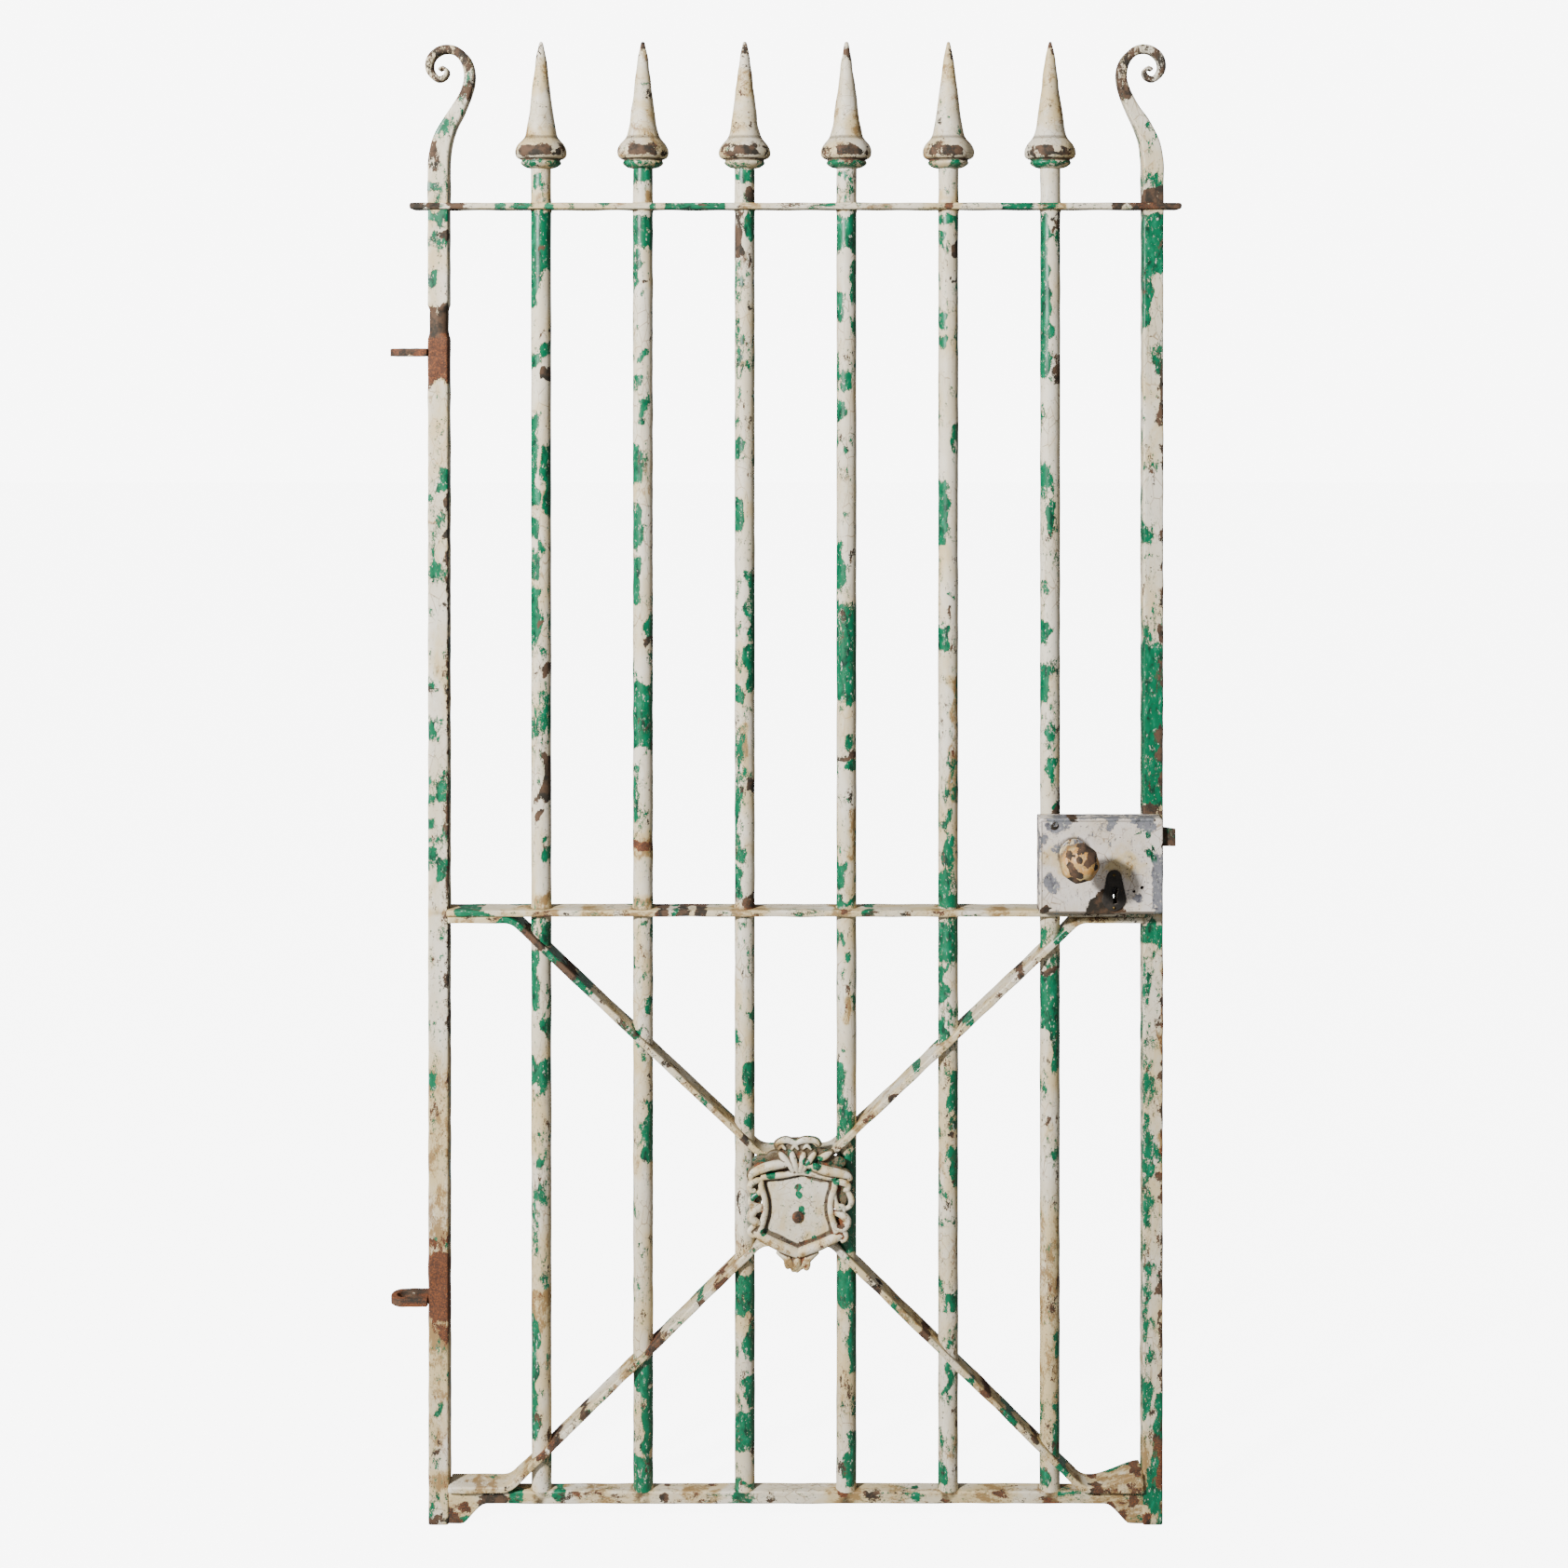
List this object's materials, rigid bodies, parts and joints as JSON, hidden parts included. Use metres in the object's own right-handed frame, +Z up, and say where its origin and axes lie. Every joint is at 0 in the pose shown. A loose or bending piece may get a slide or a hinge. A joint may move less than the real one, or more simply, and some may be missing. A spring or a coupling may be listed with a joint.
{
  "type": "garden gate",
  "caption": "Wrought-iron pedestrian gate leaf with spear-headed round bars, scrolled stiles, crossing braces, a shield boss, hinge eyes and a knob-worked rim lock.",
  "frame": {"origin": "on the swing axis, the vertical line through both hinge eyes, level with the feet of the leaf", "axes": "+X from the hinges to the lock, +Y from the lock side of the leaf to its back, +Z up"},
  "size_m": [0.9847, 0.1838, 1.847],
  "materials": {
    "painted_iron": "old cream paint flaking off emerald green, rust in the chips",
    "painted_casting": "old cream paint on castings, brown rust on the high spots",
    "rusty_iron": "brown rust with traces of cream paint",
    "painted_case": "cream paint chipped to blue-grey steel",
    "lock_steel": "dark worn steel",
    "painted_knob": "ochre-stained cream paint chipped to dark brown",
    "brass_pin": "dull"
  },
  "bodies": {
    "leaf": {"heel_stile": "painted_iron", "latch_stile": "painted_iron", "top_rail": "painted_iron", "mid_rail": "painted_iron", "bottom_rail": "painted_iron", "bar_1": "painted_iron", "bar_2": "painted_iron", "bar_3": "painted_iron", "bar_4": "painted_iron", "bar_5": "painted_iron", "bar_6": "painted_iron", "spear_1": "painted_casting", "spear_2": "painted_casting", "spear_3": "painted_casting", "spear_4": "painted_casting", "spear_5": "painted_casting", "spear_6": "painted_casting", "upper_brace": "painted_iron", "lower_brace": "painted_iron", "shield_boss": "painted_casting", "boss_back_strap": "rusty_iron", "boss_rivet": "rusty_iron", "upper_hinge_eye": "rusty_iron", "lower_hinge_eye": "rusty_iron", "lock_case": "painted_case", "lock_back_plate": "lock_steel", "case_screw": "lock_steel", "plate_screw_upper": "lock_steel", "plate_screw_lower": "lock_steel", "front_rose": "lock_steel", "rear_rose": "lock_steel", "key_escutcheon": "lock_steel", "escutcheon_pin_upper": "brass_pin", "escutcheon_pin_lower": "brass_pin", "key_ward": "lock_steel", "latch_spring": "lock_steel", "spring_post": "lock_steel", "deadbolt_stud": "lock_steel", "leaf_spring": "lock_steel", "leaf_spring_stud": "lock_steel"},
    "knob_set": {"knob_front": "painted_knob", "knob_rear": "painted_knob", "knob_spindle": "lock_steel", "follower": "lock_steel", "grub_screw_front": "lock_steel", "grub_screw_rear": "lock_steel"},
    "latch": {"latch_bolt": "lock_steel"},
    "deadbolt": {"deadbolt": "lock_steel"}
  },
  "joints": [
    {"name": "knob_turn", "type": "hinge", "parent": "leaf", "child": "knob_set", "pos_m": [0.8305, 0, 0.843], "axis": [0, -1, 0], "range_deg": [0, 45]},
    {"name": "latch_slide", "type": "slide", "parent": "leaf", "child": "latch", "axis": [-1, 0, 0], "range_m": [0, 0.0165], "stiffness_N_per_m": 400, "springref_m": -0.01, "deforming": ["latch_spring"]},
    {"name": "deadbolt_throw", "type": "slide", "parent": "leaf", "child": "deadbolt", "axis": [1, 0, 0], "range_m": [0, 0.012]}
  ],
  "couplings": [
    {"joint": "latch_slide", "follows": "knob_turn", "m_per_rad": 0.021}
  ]
}
